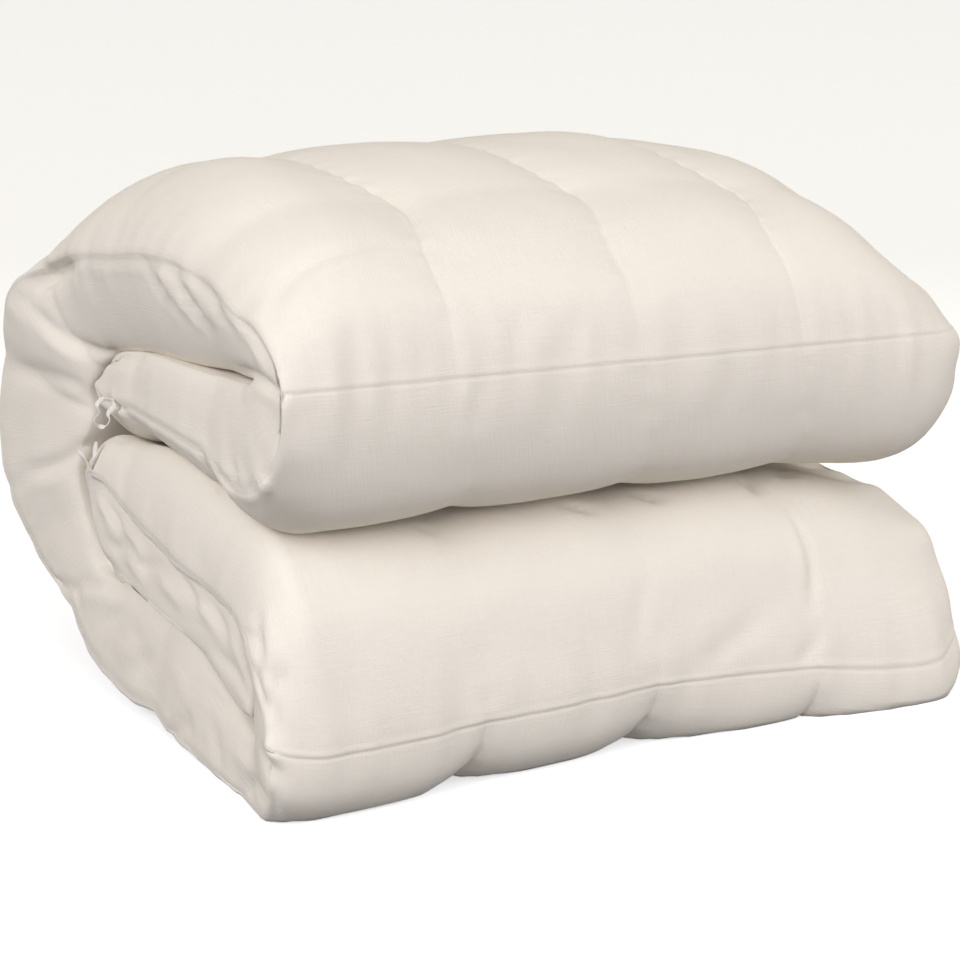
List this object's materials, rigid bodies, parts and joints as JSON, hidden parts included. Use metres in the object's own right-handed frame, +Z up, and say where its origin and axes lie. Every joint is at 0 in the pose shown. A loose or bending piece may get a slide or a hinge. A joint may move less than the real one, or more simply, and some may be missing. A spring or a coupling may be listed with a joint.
{
  "type": "weighted blanket",
  "caption": "Quilted, padded weighted blanket in cream cotton, folded into a thick bundle with its edge seams and corner ties at the end.",
  "frame": {"origin": "under the middle of the bundle's bounding box, on the surface it rests on", "axes": "+Z up, the long front folds towards -Y, the end that shows the layers towards -X"},
  "size_m": [0.5322, 0.5044, 0.3721],
  "materials": {
    "cotton": "matt plain-woven cotton, softly quilted",
    "tape": "matt woven tape"
  },
  "bodies": {
    "root": {"quilted_blanket": "cotton", "corner_loop": "tape", "corner_tie": "tape"}
  },
  "joints": []
}
